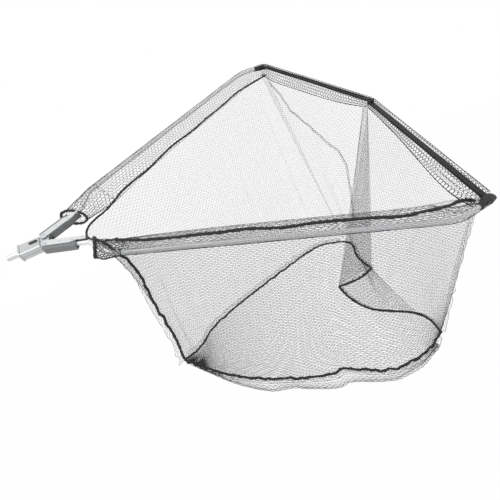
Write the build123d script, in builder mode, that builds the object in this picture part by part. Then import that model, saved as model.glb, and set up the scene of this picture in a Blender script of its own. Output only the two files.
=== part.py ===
"""Folding landing net head: a stud and collar, two bent arms, two folding front bars and a netting bag.

Every piece is drawn in the hoop's own plane: x runs from the hub to the front, y to the left arm,
z up from the mouth of the bag, and the origin is the shoulder of the stud, where the handle seats.
The head is then rolled about the stud into the pose it is held in, with the left arm up, so that
the bag hangs straight down. Millimetres and degrees throughout.
"""
from build123d import *
from math import atan2, cos, degrees, hypot, radians, sin, tan
import os

# ---- How the head is held ------------------------------------------------------------------------
head_roll = 40.0            # roll about the stud's axis, left arm up

# ---- Clearances ----------------------------------------------------------------------------------
running_fit = 0.05          # radial, pin in bore
plate_gap = 0.3             # between plates that turn over each other
cloth_gap = 0.4             # netting to the hard piece or seam beside it

# ---- Stud and collar -----------------------------------------------------------------------------
stud_dia = 12.0
stud_length = 26.0
stud_chamfer = 1.2
stud_root_dia = 9.0
stud_root_depth = 22.0
flange_thickness = 3.0
flange_margin = 1.6         # flange proud of the collar all round
collar_length = 42.0
collar_width = 32.0
collar_height = 20.0
collar_round = 3.0
groove_width = 1.6          # groove along each side
groove_depth = 0.8
groove_start = 3.0          # ahead of the flange

# ---- Lock button in the collar's top ---------------------------------------------------------------
button_x = 31.0             # its middle
button_side = 5.0           # towards the left arm
button_length = 17.0
button_width = 5.5
button_round = 0.8
button_rise = 2.2           # how far it stands proud when released
button_travel = 1.8
button_pocket = 8.0

# ---- Fork and pivots -----------------------------------------------------------------------------
pivot_ahead = 10.0          # pivots ahead of the collar's face
pivot_spread = 14.0         # each pivot from the middle plane
cheek_round = 10.5          # radius of the cheek round each pivot
cheek_thickness = 2.6
ear_height = 7.0            # arm ear between the fork plates
ear_round = 9.0
pin_dia = 6.0
rivet_head_dia = 9.5
rivet_head_height = 1.5
head_gap = 0.1              # under a rivet's head
head_taper = 22.0

# ---- Arm bracket: a channel closed outboard, whose flanges lap over the fork -----------------------
bracket_angle = 25.0        # from the stud's axis, at rest
bracket_back = 4.0          # how far it reaches behind the pivot
bracket_inboard = 9.0       # from the bracket's middle line to its open side
bracket_outboard = 13.0     # and to its closed side
bracket_wall = 1.5
bracket_end = 66.0
bracket_round = 3.0
block_start = 12.5          # the solid block between the flanges, from the pivot along the arm
block_end = 42.0
ear_width = 12.0
stub_end = 84.0             # the inner channel runs on past the bracket
stub_width = 6.4
stub_height = 12.0
stub_wall = 1.1
plate_end = 86.0
plate_width = 14.5
plate_inboard = 1.75        # the strap lies along the open side
plate_neck = 12.0           # the strap narrows over this much before the bracket's end
plate_shoulder = 5.0        # and by this much
plate_tip = 3.0             # bevel of its tip
plate_thickness = 2.0
plate_rivets = (31.0, 58.0, 79.0)
plate_rivet_dia = 3.2
plate_rivet_head = 5.4
plate_rivet_rise = 1.1

# ---- Arm tube ------------------------------------------------------------------------------------
tube_dia = 10.0
tube_wall = 1.0
tube_offset = 3.2           # tube outboard of the bracket's middle line
tube_inset = 34.0           # where the tube starts, in the block's bore
kick_start = 90.0           # along the bracket line, where the tube turns outward
shoulder = (166.0, 114.0)   # where it turns forward again
tip_angle = -3.3            # of the last stretch
tip_run = 90.7              # from the tip's bend to the elbow's pivot
elbow_x = 852.0
elbow_y = 424.0
kick_bend = 16.0
shoulder_bend = 30.0
tip_bend_reach = 47.4       # of tube that the tip's bend takes up to either side

# ---- Elbow and front bars ------------------------------------------------------------------------
socket_dia = 15.0
socket_length = 34.0
socket_cover = 24.0         # how much of the tube the socket holds
socket_round = 1.5
joint_round = 9.5           # boss radius at the elbow's pivot
bar_width = 12.0
bar_height = 6.4
bar_gap = 0.4               # between the two decks
bar_chamfer = 0.8
bar_core = 2.0              # depth of the long recess along each bar's top
bar_land = 24.0             # the recess stops this far from each pivot
apex_x = 953.0              # the middle joint of the front bars
elbow_pin_dia = 6.0
apex_rivet_dia = 6.0

# ---- Netting -------------------------------------------------------------------------------------
sleeve_gap = 0.4
sleeve_wall = 0.9
sleeve_band = 1.4           # two layers of netting
band_in = 47.0              # hem cord inboard of the tube
band_down = 22.0
sleeve_start = 32.6         # past the shoulder
sleeve_stop = 8.0           # short of the elbow's socket
cuff_mouth = (80.0, 30.0)   # open end of the sleeve beside the bracket
cuff_throat = (62.0, 19.0)
cuff_reach = (2.0, 42.0)    # from the kick, along the tube
cuff_overhang = 8.0         # outboard of the tube's middle
front_band_in = 10.0
front_band_down = 34.0
front_sleeve_start = 62.0   # from the elbow along the bar
front_sleeve_stop = 46.0    # short of the middle joint
front_sleeve_round = 1.6
front_hem_start = 54.0      # from the elbow along the bar, clear of the arm's hem
front_hem_stop = 8.0        # short of the middle
hem_dia = 4.4
hem_gap = 1.2               # between two lengths of hem
hem_stop = 3.0              # the arm's hem ends this far short of the elbow's pivot
wall_thickness = 1.2
wall_stations = (320.0, 50.0)   # corners of a wall's top: past the shoulder, short of the tip's bend
back_x = 124.0              # where the hem closes behind the two arms
back_corner = (150.0, 42.0)
back_round = 10.0
seam_dia = 3.4
seam_set_back = 2.6         # back seam behind the two walls it joins
seam_gap = 0.1              # between a seam and the cloth it lies under

# ---- Foot of the bag -----------------------------------------------------------------------------
# Each corner is measured in the mouth and then dropped straight down to the bag's floor.
bag_depth = 300.0           # the bottom panel, below the hoop's plane
foot_back_x = 186.0         # where the back seam ends
foot_front_x = 755.0        # along the front bars
foot_turn_x = 222.0         # where the foot leaves the back seam
foot_belly_x = 412.0        # where the two sides stop spreading
foot_swell_x = 650.0        # where the right side is nearly full width
foot_left_x = 737.0         # the left front corner
foot_left_y = 62.0          # left side of the foot, from the stud's axis
foot_turn_y = -36.0         # right side as it leaves the back seam
foot_belly_y = -186.0       # right side at the belly
foot_swell_y = -262.0
foot_corner_y = -274.0      # right side at the front corner
foot_split_y = -90.0        # where the two front nets meet
foot_gap = 1.5              # half the space between two nets beside each other
floor_inset = 1.5

# ---- Worked out ----------------------------------------------------------------------------------
held = Location((0, 0, 0), (head_roll, 0, 0))
pivot_x = collar_length + pivot_ahead
pivot = (pivot_x, pivot_spread)
cheek_inner = ear_height / 2 + plate_gap
cheek_outer = cheek_inner + cheek_thickness
bracket_inner = cheek_outer + plate_gap
bracket_half = bracket_inner + bracket_wall
stub_middle = stub_width / 2 - bracket_inboard
bar_angle = degrees(atan2(-elbow_y, apex_x - elbow_x))
bar_length = hypot(apex_x - elbow_x, elbow_y)
hem_drop = -band_down
bag_floor = -bag_depth


def along_arm(distance, outboard=0.0):
    """A point on the left bracket's line, measured from its pivot."""
    a = radians(bracket_angle)
    return (pivot_x + distance * cos(a) - outboard * sin(a),
            pivot_spread + distance * sin(a) + outboard * cos(a))


def on_line(at, angle, distance):
    """A point further along a line in the hoop's plane."""
    return (at[0] + distance * cos(radians(angle)), at[1] + distance * sin(radians(angle)))


elbow_point = (elbow_x, elbow_y)
tube_end = on_line(elbow_point, tip_angle, socket_cover - socket_length)
knee = on_line(elbow_point, tip_angle, -tip_run)
spread_angle = degrees(atan2(knee[1] - shoulder[1], knee[0] - shoulder[0]))
tip_bend = tip_bend_reach / tan(radians(spread_angle - tip_angle) / 2)
kick = along_arm(kick_start, tube_offset)
bracket_plane = Plane(origin=(*pivot, 0), x_dir=(*on_line((0, 0), bracket_angle, 1), 0), z_dir=(0, 0, 1))


def hand_in(name, piece):
    """Turn a finished piece into the pose it is held in, label it and write it."""
    placed = piece.moved(held)
    placed.label = name
    export_step(placed, f"parts/{name}.step")


def hand_in_pair(name, piece, flip=False):
    """Write the left piece and its right-hand twin: mirrored, or turned over so that the decks swap."""
    hand_in(f"{name}_left", piece)
    twin = piece.moved(Location((0, 0, 0), (180, 0, 0))) if flip else mirror(piece, about=Plane.XZ)
    hand_in(f"{name}_right", twin)


def rivet(at, low, high, diameter):
    """A pin along the hoop's normal with a low domed head at each end, between two faces."""
    with BuildPart() as made:
        with BuildSketch(Plane.XY.offset(low)):
            with Locations(at):
                Circle(diameter / 2)
        extrude(amount=high - low)
        for face, way in ((high, 1), (low, -1)):
            with BuildSketch(Plane.XY.offset(face)):
                with Locations(at):
                    Circle(rivet_head_dia / 2)
            extrude(amount=way * rivet_head_height, taper=head_taper)
    return made.part


# ---- Hub -----------------------------------------------------------------------------------------
def make_stud():
    with BuildPart() as handle_stud:
        with BuildSketch(Plane.XZ):
            with BuildLine():
                Polyline((-stud_length, 0), (-stud_length, stud_dia / 2 - stud_chamfer),
                         (-stud_length + stud_chamfer, stud_dia / 2), (0, stud_dia / 2), (0, stud_root_dia / 2),
                         (stud_root_depth, stud_root_dia / 2), (stud_root_depth, 0), close=True)
            make_face()
        revolve(axis=Axis.X)
    return handle_stud.part


def make_collar():
    with BuildPart() as collar:
        with BuildSketch(Plane.YZ):
            RectangleRounded(collar_width + 2 * flange_margin, collar_height + 2 * flange_margin,
                             collar_round + flange_margin)
        extrude(amount=flange_thickness)
        with BuildSketch(Plane.YZ.offset(flange_thickness)):
            RectangleRounded(collar_width, collar_height, collar_round)
        extrude(amount=collar_length - flange_thickness)
        # Side grooves, the stud's bore and the button's pocket.
        with BuildSketch(Plane.YZ.offset(flange_thickness + groove_start)):
            with Locations((collar_width / 2, 0), (-collar_width / 2, 0)):
                Rectangle(2 * groove_depth, groove_width)
        extrude(amount=collar_length, mode=Mode.SUBTRACT)
        with BuildSketch(Plane.YZ):
            Circle(stud_root_dia / 2)
        extrude(amount=stud_root_depth, mode=Mode.SUBTRACT)
        with BuildSketch(Plane.XY.offset(collar_height / 2)):
            with Locations((button_x, button_side)):
                SlotOverall(button_length + 2 * running_fit, button_width + 2 * running_fit)
        extrude(amount=-button_pocket, mode=Mode.SUBTRACT)
    return collar.part


def make_button():
    foot = button_pocket - button_travel - plate_gap
    with BuildPart() as lock_button:
        with BuildSketch(Plane.XY.offset(collar_height / 2 - foot)):
            with Locations((button_x, button_side)):
                SlotOverall(button_length, button_width)
        extrude(amount=foot + button_rise)
        fillet(lock_button.faces().sort_by(Axis.Z)[-1].edges(), radius=button_round)
    return lock_button.part


def make_cheek(way):
    """One plate of the fork: it carries both pivots and meets the collar's face."""
    with BuildPart() as cheek:
        with BuildSketch(Plane.XY.offset(way * cheek_inner)):
            with Locations((pivot_x, pivot_spread), (pivot_x, -pivot_spread)):
                Circle(cheek_round)
            with Locations((collar_length, 0)):
                Rectangle(pivot_ahead + 0.8 * cheek_round, 2 * pivot_spread, align=(Align.MIN, Align.CENTER))
            with Locations((pivot_x, pivot_spread), (pivot_x, -pivot_spread)):
                Circle(pin_dia / 2, mode=Mode.SUBTRACT)
            with Locations((collar_length, 0)):
                Rectangle(collar_length, 2 * collar_width, align=(Align.MAX, Align.CENTER),
                          mode=Mode.SUBTRACT)
        extrude(amount=way * cheek_thickness)
    return cheek.part


# ---- Arms ----------------------------------------------------------------------------------------
strap_spots = [(distance, -plate_inboard) for distance in plate_rivets[:2]] + [(plate_rivets[2], stub_middle)]


def make_bracket():
    """A channel whose two flanges lap over the fork, with a solid block and an ear between them."""
    with BuildPart() as bracket:
        with BuildSketch(bracket_plane.offset(-bracket_half)):
            with Locations((-bracket_back, -bracket_inboard)):
                Rectangle(bracket_end + bracket_back, bracket_inboard + bracket_outboard,
                          align=(Align.MIN, Align.MIN))
        extrude(amount=2 * bracket_half)
        fillet(bracket.edges().filter_by(Axis.Z).group_by(Axis.X)[0], radius=bracket_round)
        # The room round the fork and the channel ahead of the block; both are open inboard.
        for start, stop in ((-2 * bracket_back, block_start), (block_end, bracket_end)):
            with BuildSketch(bracket_plane.offset(-bracket_inner)):
                with Locations((start, bracket_outboard - bracket_wall)):
                    Rectangle(stop - start, bracket_inboard + bracket_outboard, align=(Align.MIN, Align.MAX))
            extrude(amount=2 * bracket_inner, mode=Mode.SUBTRACT)
        with BuildSketch(bracket_plane.offset(-ear_height / 2)):
            Circle(ear_round)
            with Locations((block_start / 2, 0)):
                Rectangle(block_start + bracket_wall, ear_width)
        extrude(amount=ear_height)
        with BuildSketch(bracket_plane.offset(-bracket_half)):
            Circle(pin_dia / 2 + running_fit)
        extrude(amount=2 * bracket_half, mode=Mode.SUBTRACT)
        # The tube's bore, and the slot beside it that the inner channel stands in.
        bore_face = Plane(origin=(*along_arm(block_end, tube_offset), 0), x_dir=(0, 0, 1),
                          z_dir=bracket_plane.x_dir)
        with BuildSketch(bore_face):
            Circle(tube_dia / 2)
        extrude(amount=tube_inset - block_end, mode=Mode.SUBTRACT)
        with BuildSketch(bracket_plane.offset(bracket_inner - stub_height)):
            with Locations((tube_inset, -bracket_inboard)):
                Rectangle(block_end - tube_inset, stub_width, align=(Align.MIN, Align.MIN))
        extrude(amount=stub_height, mode=Mode.SUBTRACT)
        with BuildSketch(bracket_plane.offset(bracket_inner)):
            with Locations(*strap_spots[:2]):
                Circle(plate_rivet_dia / 2)
        extrude(amount=bracket_wall, mode=Mode.SUBTRACT)
    return bracket.part


def make_stub():
    """The inner channel that runs on past the bracket beside the tube, open at its front end."""
    with BuildPart() as stub:
        for inset, mode in ((0, Mode.ADD), (stub_wall, Mode.SUBTRACT)):
            with BuildSketch(bracket_plane.offset(bracket_inner - inset)):
                with Locations((stub_end, stub_middle)):
                    Rectangle(stub_end - tube_inset - inset, stub_width - 2 * inset,
                              align=(Align.MAX, Align.CENTER))
            extrude(amount=2 * inset - stub_height, mode=mode)
    return stub.part


def make_plate():
    """The bright strap on top of the bracket, with a round nose at the pivot."""
    inner, outer = -plate_inboard - plate_width / 2, -plate_inboard + plate_width / 2
    with BuildPart() as plate:
        with BuildSketch(bracket_plane.offset(bracket_half)):
            with BuildLine():
                nose = ThreePointArc((0, outer), (-plate_width / 2, -plate_inboard), (0, inner))
                Polyline(nose @ 1, (bracket_end, inner), (plate_end - plate_tip, inner + plate_tip),
                         (plate_end, inner + 2 * plate_tip), (plate_end, outer - plate_shoulder - plate_tip / 2),
                         (bracket_end, outer - plate_shoulder), (bracket_end - plate_neck, outer), nose @ 0)
            make_face()
            Circle(pin_dia / 2 + running_fit, mode=Mode.SUBTRACT)
            with Locations(*strap_spots):
                Circle(plate_rivet_dia / 2, mode=Mode.SUBTRACT)
        extrude(amount=plate_thickness)
    return plate.part


def make_plate_rivets():
    """Three button rivets that hold the strap down; the last one reaches the inner channel."""
    with BuildPart() as rivets:
        for height, diameter, rise, taper in (
                (bracket_inner, plate_rivet_dia, bracket_wall + plate_thickness, 0),
                (bracket_half + plate_thickness, plate_rivet_head, plate_rivet_rise, head_taper)):
            with BuildSketch(bracket_plane.offset(height)):
                with Locations(*strap_spots):
                    Circle(diameter / 2)
            extrude(amount=rise, taper=taper)
    return rivets.part


def make_tube():
    """The bent tube: out of the bracket, out to the shoulder, forward, and in to the elbow."""
    start = along_arm(tube_inset + plate_gap, tube_offset)
    with BuildPart() as arm_tube:
        with BuildLine() as centre:
            FilletPolyline(start, kick, shoulder, knee, tube_end, radius=(kick_bend, shoulder_bend, tip_bend))
        with BuildSketch(centre.line ^ 0):
            Circle(tube_dia / 2)
            Circle(tube_dia / 2 - tube_wall, mode=Mode.SUBTRACT)
        sweep(path=centre.line)
    return arm_tube.part


# ---- Elbow and front bars ------------------------------------------------------------------------
# The left bar lies on the upper deck and the right bar on the lower one, so that they cross when folded.
deck_low = bar_gap / 2
deck_high = deck_low + bar_height
bar_plane = Plane(origin=(*elbow_point, 0), x_dir=(*on_line((0, 0), bar_angle, 1), 0), z_dir=(0, 0, 1))
tip_direction = (*on_line((0, 0), tip_angle, 1), 0)


def make_elbow():
    """The moulded end of an arm: a socket for the tube and a boss that the bar turns on."""
    tip_plane = Plane(origin=(*elbow_point, 0), x_dir=tip_direction, z_dir=(0, 0, 1))
    socket_plane = Plane(origin=tip_plane.from_local_coords((-socket_length, 0, 0)), z_dir=tip_direction)
    with BuildPart() as elbow:
        with BuildSketch(socket_plane):
            Circle(socket_dia / 2)
        extrude(amount=socket_cover + bracket_wall)
        fillet(elbow.edges().filter_by(GeomType.CIRCLE).sort_by(Axis.X)[0], radius=socket_round)
        with BuildSketch(tip_plane.offset(-deck_high)):
            Circle(joint_round)
            with Locations((-joint_round, 0)):
                Rectangle(2 * joint_round, socket_dia)
        extrude(amount=bar_height)
        # Room above the boss for the bar to turn, then the tube's socket and the pin's bore.
        with BuildSketch(tip_plane.offset(-deck_low)):
            Circle(joint_round + bar_gap)
        extrude(amount=deck_high + socket_dia, mode=Mode.SUBTRACT)
        with BuildSketch(socket_plane):
            Circle(tube_dia / 2)
        extrude(amount=socket_cover, mode=Mode.SUBTRACT)
        with BuildSketch(tip_plane.offset(-deck_high)):
            Circle(elbow_pin_dia / 2)
        extrude(amount=bar_height, mode=Mode.SUBTRACT)
    return elbow.part


def make_bar():
    """A front bar: a flat beam with a boss at each end and a long groove along its top."""
    with BuildPart() as front_bar:
        with BuildSketch(bar_plane.offset(deck_low)):
            with Locations((0, 0), (bar_length, 0)):
                Circle(joint_round - bar_gap)
            with Locations((bar_length / 2, 0)):
                Rectangle(bar_length, bar_width)
        extrude(amount=bar_height)
        top = front_bar.faces().sort_by(Axis.Z)[-1]
        chamfer(top.edges(), length=bar_chamfer)
        with BuildSketch(bar_plane.offset(deck_high)):
            with Locations((bar_length / 2, 0)):
                SlotOverall(bar_length - 2 * bar_land, bar_width / 2)
        extrude(amount=-bar_core, mode=Mode.SUBTRACT)
        with BuildSketch(bar_plane.offset(deck_low)):
            Circle(elbow_pin_dia / 2 + running_fit)
            with Locations((bar_length, 0)):
                Circle(apex_rivet_dia / 2)
        extrude(amount=bar_height, mode=Mode.SUBTRACT)
    return front_bar.part


def make_apex_rivet():
    """One half of the middle joint. The halves only meet when the head is open."""
    with BuildPart() as apex_rivet:
        with BuildSketch(bar_plane.offset(deck_low)):
            with Locations((bar_length, 0)):
                Circle(apex_rivet_dia / 2)
        extrude(amount=bar_height)
        with BuildSketch(bar_plane.offset(deck_high)):
            with Locations((bar_length, 0)):
                Circle(rivet_head_dia / 2)
        extrude(amount=rivet_head_height, taper=head_taper)
    return apex_rivet.part


# ---- Netting -------------------------------------------------------------------------------------
def across(at, angle, height=0.0):
    """The plane square to a run of tube or bar, its x inboard and its y down."""
    return Plane(origin=(*at, height), x_dir=(sin(radians(angle)), -cos(radians(angle)), 0),
                 z_dir=(cos(radians(angle)), sin(radians(angle)), 0))


def rim(at, angle, inboard=band_in):
    """The hem's point inboard of a point on the tube or bar."""
    return (at[0] + inboard * sin(radians(angle)), at[1] - inboard * cos(radians(angle)))


def mirrored(points):
    return [(x, -y) for x, y in points]


sleeve_begin = on_line(shoulder, spread_angle, sleeve_start)
sleeve_end = on_line(tube_end, tip_angle, -socket_cover - sleeve_stop)
hem_end = on_line(elbow_point, tip_angle, -hem_stop)
hem_reach = hypot(band_in, band_down)
hem_slope = degrees(atan2(band_down, band_in))


def make_sleeve():
    """Netting folded over the arm: a loose tube with a doubled band hanging inboard to the hem."""
    inner = tube_dia / 2 + sleeve_gap
    outer = inner + sleeve_wall
    edge = hem_reach - hem_dia / 2 - seam_gap
    with BuildPart() as sleeve:
        with BuildLine() as run:
            FilletPolyline(sleeve_begin, knee, sleeve_end, radius=tip_bend)
        with BuildSketch(across(sleeve_begin, spread_angle)):
            Circle(outer)
            middle = (inner + edge) / 2
            with Locations((middle * cos(radians(hem_slope)), middle * sin(radians(hem_slope)))):
                Rectangle(edge - inner, sleeve_band, rotation=hem_slope)
            Circle(inner, mode=Mode.SUBTRACT)
        sweep(path=run.line)
    return sleeve.part


def make_cuff():
    """The sleeve's loose open end round the kicked stretch of tube."""
    angle = degrees(atan2(shoulder[1] - kick[1], shoulder[0] - kick[0]))
    with BuildPart() as sleeve_cuff:
        for inset, mode in ((0, Mode.ADD), (sleeve_wall, Mode.SUBTRACT)):
            for reach, (wide, high) in zip(cuff_reach, (cuff_mouth, cuff_throat)):
                with BuildSketch(across(on_line(kick, angle, reach), angle)):
                    with Locations((wide / 2 - cuff_overhang, 0)):
                        Ellipse(wide / 2 - inset, high / 2 - inset)
            loft(mode=mode)
    return sleeve_cuff.part


def make_hem():
    with BuildPart() as hem_cord:
        with BuildLine() as run:
            FilletPolyline(sleeve_begin, knee, hem_end, radius=tip_bend)
        with BuildSketch(across(sleeve_begin, spread_angle)):
            with Locations((band_in, band_down)):
                Circle(hem_dia / 2)
        sweep(path=run.line)
    return hem_cord.part


def front_section(deck):
    """Height of the bar's middle, for the deck it lies on (1 upper, -1 lower)."""
    return deck * (deck_low + deck_high) / 2


def make_front_sleeve(deck):
    """The same over a front bar, hanging almost straight down from it."""
    start = on_line(elbow_point, bar_angle, front_sleeve_start)
    length = bar_length - front_sleeve_start - front_sleeve_stop
    margin = 2 * (sleeve_gap + sleeve_wall)
    middle = -front_section(deck)
    top = middle + bar_height / 2 + sleeve_gap
    drop = front_band_down - hem_dia / 2 - cloth_gap - top
    lean = degrees(atan2(drop, front_band_in - bar_width / 4))
    with BuildPart() as front_sleeve:
        with BuildSketch(across(start, bar_angle)):
            with Locations((0, middle)):
                RectangleRounded(bar_width + margin, bar_height + margin, front_sleeve_round)
            with Locations(((bar_width / 4 + front_band_in) / 2, top + drop / 2)):
                Rectangle(drop / sin(radians(lean)), sleeve_band, rotation=lean)
            with Locations((0, middle)):
                Rectangle(bar_width + 2 * sleeve_gap, bar_height + 2 * sleeve_gap, mode=Mode.SUBTRACT)
        extrude(amount=length)
    return front_sleeve.part


def make_front_hem():
    start = on_line(elbow_point, bar_angle, front_hem_start)
    with BuildPart() as front_hem_cord:
        with BuildSketch(across(start, bar_angle)):
            with Locations((front_band_in, front_band_down)):
                Circle(hem_dia / 2)
        extrude(amount=bar_length - front_hem_start - front_hem_stop)
    return front_hem_cord.part


def ribbon(points, thickness):
    """The outline of a thin band laid along a run of points."""
    sides = []
    for side in (0.5, -0.5):
        edge = []
        for n, (x, y) in enumerate(points):
            before, after = points[max(n - 1, 0)], points[min(n + 1, len(points) - 1)]
            dx, dy = after[0] - before[0], after[1] - before[1]
            run = hypot(dx, dy)
            edge.append((x - side * thickness * dy / run, y + side * thickness * dx / run))
        sides.append(edge)
    return sides[0] + sides[1][::-1]


def make_wall(top, top_height, foot):
    """A netting wall, ruled from its hem to its foot."""
    with BuildPart() as wall:
        for points, height in ((top, top_height), (foot, bag_floor + cloth_gap)):
            with BuildSketch(Plane.XY.offset(height)):
                with BuildLine():
                    Polyline(*ribbon(points, wall_thickness), close=True)
                make_face()
        loft(ruled=True)
    return wall.part


wall_top = hem_drop - hem_dia / 2 - cloth_gap
front_wall_top = -front_band_down - hem_dia / 2 - cloth_gap
rim_points = [(back_x + wall_thickness, 3 * wall_thickness), back_corner,
              rim(on_line(shoulder, spread_angle, wall_stations[0]), spread_angle),
              rim(on_line(knee, spread_angle, -wall_stations[1]), spread_angle), rim(hem_end, tip_angle)]
front_rim = [rim(on_line(elbow_point, bar_angle, distance), bar_angle, front_band_in)
             for distance in (front_hem_start, bar_length - front_hem_stop)]


def plumb(x, y):
    """The point of the bag's floor straight below a point of the mouth."""
    return (x, y - bag_depth * tan(radians(head_roll)))


foot_right_x = foot_front_x - 5 * foot_gap
left_foot = [plumb(foot_back_x, foot_gap), plumb(foot_turn_x, 4 * foot_gap), plumb(foot_belly_x, foot_left_y),
             plumb(foot_swell_x, foot_left_y), plumb(foot_left_x, foot_left_y)]
right_foot = [plumb(foot_back_x, -foot_gap), plumb(foot_turn_x, foot_turn_y), plumb(foot_belly_x, foot_belly_y),
              plumb(foot_swell_x, foot_swell_y), plumb(foot_right_x, foot_corner_y)]
split_left, split_right = [plumb(foot_front_x, foot_split_y + gap) for gap in (foot_gap, -foot_gap)]
front_left_foot = [plumb(foot_left_x + 4 * foot_gap, foot_left_y - 2 * foot_gap), split_left]
front_right_foot = [plumb(foot_front_x, foot_corner_y + 2 * foot_gap), split_right]
foot_outline = [plumb(foot_back_x, 0), *left_foot[1:3], left_foot[-1], split_left, *right_foot[:0:-1]]


def make_floor():
    with BuildPart() as bottom_panel:
        with BuildSketch(Plane.XY.offset(bag_floor)):
            with BuildLine():
                Polyline(*foot_outline, close=True)
            make_face()
            offset(amount=-floor_inset)
        extrude(amount=-wall_thickness)
    return bottom_panel.part


def make_floor_seam():
    height = bag_floor - wall_thickness - seam_dia / 2 - seam_gap
    with BuildPart() as floor_seam:
        with BuildLine() as run:
            FilletPolyline(*[(x, y, height) for x, y in foot_outline], radius=2 * seam_dia, close=True)
        with BuildSketch(run.line ^ 0.3):
            Circle(seam_dia / 2)
        sweep(path=run.line)
    return floor_seam.part


def make_back_hem():
    """The hem's back end, which closes the mouth behind the two arms."""
    run = on_line(rim(sleeve_begin, spread_angle), spread_angle, -hem_gap)
    with BuildPart() as back_hem_cord:
        with BuildLine() as loop:
            points = [run, back_corner, (back_x, 0), *mirrored([back_corner, run])]
            FilletPolyline(*[(x, y, hem_drop) for x, y in points], radius=back_round)
        with BuildSketch(loop.line ^ 0):
            Circle(hem_dia / 2)
        sweep(path=loop.line)
    return back_hem_cord.part


def make_back_seam():
    """The sewn seam down the back, from the hem to the bottom panel."""
    end_x, end_y = plumb(foot_back_x - seam_set_back, 0)
    with BuildPart() as back_seam:
        with BuildLine() as run:
            Line((back_x - seam_set_back, 0, wall_top - seam_dia / 2), (end_x, end_y, bag_floor + seam_dia))
        with BuildSketch(run.line ^ 0):
            Circle(seam_dia / 2)
        sweep(path=run.line)
    return back_seam.part


# ---- Hand in -------------------------------------------------------------------------------------
os.makedirs("parts", exist_ok=True)
hand_in("handle_stud", make_stud())
hand_in("collar", make_collar())
hand_in("lock_button", make_button())
hand_in("fork_plate_upper", make_cheek(1))
hand_in("fork_plate_lower", make_cheek(-1))
pin_ends = (-bracket_half - head_gap, bracket_half + plate_thickness + head_gap)
hand_in_pair("pivot_pin", rivet(pivot, *pin_ends, pin_dia))
hand_in_pair("arm_bracket", make_bracket())
hand_in_pair("inner_channel", make_stub())
hand_in_pair("arm_strap", make_plate())
hand_in_pair("strap_rivets", make_plate_rivets())
hand_in_pair("arm_tube", make_tube())
hand_in_pair("elbow", make_elbow(), flip=True)
hand_in_pair("elbow_pin", rivet(elbow_point, -deck_high, deck_high + head_gap, elbow_pin_dia), flip=True)
hand_in_pair("front_bar", make_bar(), flip=True)
hand_in_pair("apex_rivet", make_apex_rivet(), flip=True)
hand_in_pair("arm_sleeve", make_sleeve())
hand_in_pair("sleeve_cuff", make_cuff())
hand_in_pair("hem_cord", make_hem())
hand_in_pair("front_hem_cord", make_front_hem())
hand_in("front_sleeve_left", make_front_sleeve(1))
hand_in("front_sleeve_right", mirror(make_front_sleeve(-1), about=Plane.XZ))
hand_in("net_wall_left", make_wall(rim_points, wall_top, left_foot))
hand_in("net_wall_right", make_wall(mirrored(rim_points), wall_top, right_foot))
hand_in("front_net_left", make_wall(front_rim, front_wall_top, front_left_foot))
hand_in("front_net_right", make_wall(mirrored(front_rim), front_wall_top, front_right_foot))
hand_in("bottom_panel", make_floor())
hand_in("bottom_seam_cord", make_floor_seam())
hand_in("back_hem_cord", make_back_hem())
hand_in("back_seam_cord", make_back_seam())
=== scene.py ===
# %% [markdown]
# A folding landing net, seen as an angler would hold it before netting a fish. A metal stud goes
# into the handle, two tube arms spread from a small hub, two black bars close the mouth at the
# front, and a deep bag of fine black netting hangs from sleeves on the arms and bars. The hard
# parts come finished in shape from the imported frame, so this script gives them their surfaces, and
# it makes everything that is soft: netting, hems and seams.

# %% Load the frame
import math
from collections import namedtuple

import bmesh
import bpy
import numpy as np
from mathutils import Matrix, Vector, noise


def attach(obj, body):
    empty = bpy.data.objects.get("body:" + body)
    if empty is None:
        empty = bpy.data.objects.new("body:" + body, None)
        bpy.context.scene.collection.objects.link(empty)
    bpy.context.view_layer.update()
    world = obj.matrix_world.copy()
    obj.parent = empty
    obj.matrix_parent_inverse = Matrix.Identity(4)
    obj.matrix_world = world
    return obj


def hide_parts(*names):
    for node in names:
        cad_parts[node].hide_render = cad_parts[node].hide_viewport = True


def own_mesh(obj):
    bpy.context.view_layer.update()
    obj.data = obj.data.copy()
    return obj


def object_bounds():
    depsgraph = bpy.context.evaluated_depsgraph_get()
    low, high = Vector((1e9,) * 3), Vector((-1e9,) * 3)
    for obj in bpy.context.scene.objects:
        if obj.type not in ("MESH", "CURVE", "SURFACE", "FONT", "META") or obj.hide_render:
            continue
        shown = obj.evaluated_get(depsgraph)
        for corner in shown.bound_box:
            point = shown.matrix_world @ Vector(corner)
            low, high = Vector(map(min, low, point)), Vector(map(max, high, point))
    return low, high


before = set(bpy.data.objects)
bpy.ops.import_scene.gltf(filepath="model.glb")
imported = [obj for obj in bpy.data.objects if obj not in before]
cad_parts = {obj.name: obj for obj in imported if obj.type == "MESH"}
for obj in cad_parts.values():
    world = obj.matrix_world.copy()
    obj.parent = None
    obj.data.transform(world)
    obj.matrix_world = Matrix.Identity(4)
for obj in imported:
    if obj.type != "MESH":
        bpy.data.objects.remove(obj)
cad_low, cad_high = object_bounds()
print("frame", [round(side, 3) for side in cad_high - cad_low], "m")

# %% [markdown]
# The hoop is flat, but it is held rolled 40 degrees about the stud, so that the bag hangs clear of
# the arms. Everything soft is drawn in the hoop's own plane, where x runs forward from the stud, y
# to the left arm and z up out of the mouth, and one turn then lays it in the frame. Straight down
# in the world is therefore a slanted direction in the hoop's own axes. The two arms are alike, so
# most places are given for the left one and turned over for the right.

# %% The hoop's own axes
head_roll = math.radians(40)
to_frame = Matrix.Rotation(head_roll, 4, "X")
straight_down = Vector((0, -math.sin(head_roll), -math.cos(head_roll)))
out_of_mouth = np.array((0, 0, 1))


def unit(angle):
    """A step of length one in the hoop's plane, turned left by an angle from straight ahead."""
    return Vector((math.cos(math.radians(angle)), math.sin(math.radians(angle)), 0))


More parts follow.
